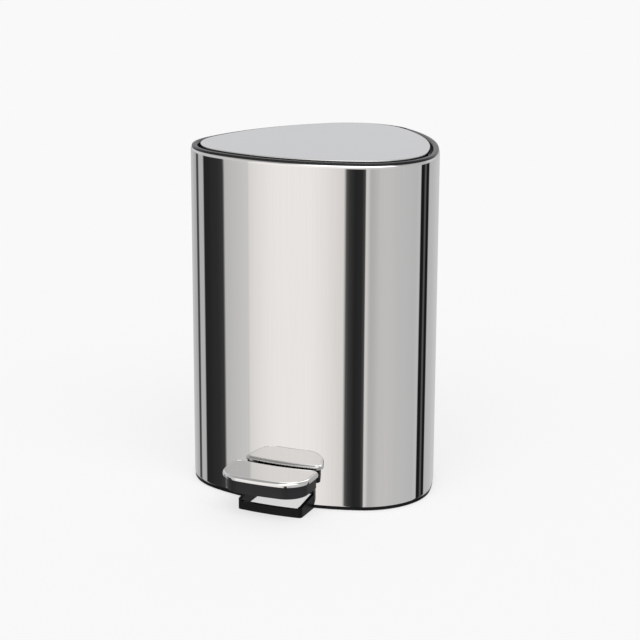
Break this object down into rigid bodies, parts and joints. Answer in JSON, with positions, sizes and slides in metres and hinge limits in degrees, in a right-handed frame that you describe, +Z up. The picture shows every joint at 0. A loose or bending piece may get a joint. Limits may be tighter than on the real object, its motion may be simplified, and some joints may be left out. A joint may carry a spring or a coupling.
{
  "type": "pedal trash can",
  "caption": "Pedal trash can with a rounded triangular polished steel body, black rim, inset steel lid opened by a pedal through a push rod, and a lift-out inner bucket.",
  "frame": {"origin": "on the floor, under the middle of the whole object's footprint, pedal included", "axes": "+Z up along the can's height; -Y towards the pedal and the user; +Y towards the lid's hinge at the rear corner; +X to the right seen from the pedal side"},
  "size_m": [0.2134, 0.2534, 0.2942],
  "materials": {
    "base_plastic": "satin, fine grain",
    "foot_rubber": "matt",
    "zinc_screws": "zinc plated",
    "deck_plastic": "satin",
    "bush_plastic": "satin",
    "shell_steel": "polished, with a fine vertical grain",
    "collar_plastic": "satin",
    "damper_plastic": "satin",
    "duct_plastic": "satin",
    "lever_plastic": "satin",
    "pin_steel": "ground",
    "pad_plastic": "satin",
    "cap_steel": "polished",
    "rod_steel": "galvanised",
    "lid_steel": "polished",
    "liner_plastic": "satin",
    "bumper_rubber": "matt",
    "bucket_plastic": "satin",
    "handle_plastic": "satin"
  },
  "bodies": {
    "base_body": {"base": "base_plastic", "foot_pads": "foot_rubber", "base_screws": "zinc_screws", "mechanism_deck": "deck_plastic", "axle_bushes": "bush_plastic", "body_shell": "shell_steel", "collar": "collar_plastic", "hinge_bushes": "bush_plastic", "damper_body": "damper_plastic", "rod_duct": "duct_plastic", "duct_screws": "zinc_screws"},
    "pedal": {"pedal_lever": "lever_plastic", "pedal_axle": "pin_steel", "axle_clips": "pin_steel", "pedal_pad": "pad_plastic", "pad_screws": "zinc_screws", "pedal_cap": "cap_steel", "lever_pin": "pin_steel"},
    "rod": {"push_rod": "rod_steel"},
    "lid": {"lid_skin": "lid_steel", "lid_liner": "liner_plastic", "lid_bracket": "liner_plastic", "bracket_screws": "zinc_screws", "hinge_pin": "pin_steel", "crank_pin": "pin_steel", "damper_rotor": "damper_plastic", "lid_bumpers": "bumper_rubber"},
    "bucket": {"bucket": "bucket_plastic"},
    "handle": {"bucket_handle": "handle_plastic"}
  },
  "joints": [
    {"name": "lid_hinge", "type": "hinge", "parent": "base_body", "child": "lid", "pos_m": [0, 0.10879, 0.2884], "axis": [-1, 0, 0], "range_deg": [0, 70]},
    {"name": "pedal_pivot", "type": "hinge", "parent": "base_body", "child": "pedal", "pos_m": [0, -0.04121, 0.02], "axis": [1, 0, 0], "range_deg": [0, 7.71]},
    {"name": "rod_slide", "type": "slide", "parent": "base_body", "child": "rod", "axis": [0, 0, 1], "range_m": [0, 0.01882]},
    {"name": "bucket_lift", "type": "slide", "parent": "base_body", "child": "bucket", "axis": [0, 0, 1], "range_m": [0, 0.006]},
    {"name": "handle_swing", "type": "hinge", "parent": "bucket", "child": "handle", "pos_m": [0, 0.01279, 0.2715], "axis": [-1, 0, 0], "range_deg": [0, 7]}
  ],
  "couplings": [
    {"joint": "pedal_pivot", "follows": "lid_hinge", "ratio": 0.11008},
    {"joint": "rod_slide", "follows": "lid_hinge", "m_per_rad": 0.0154}
  ]
}
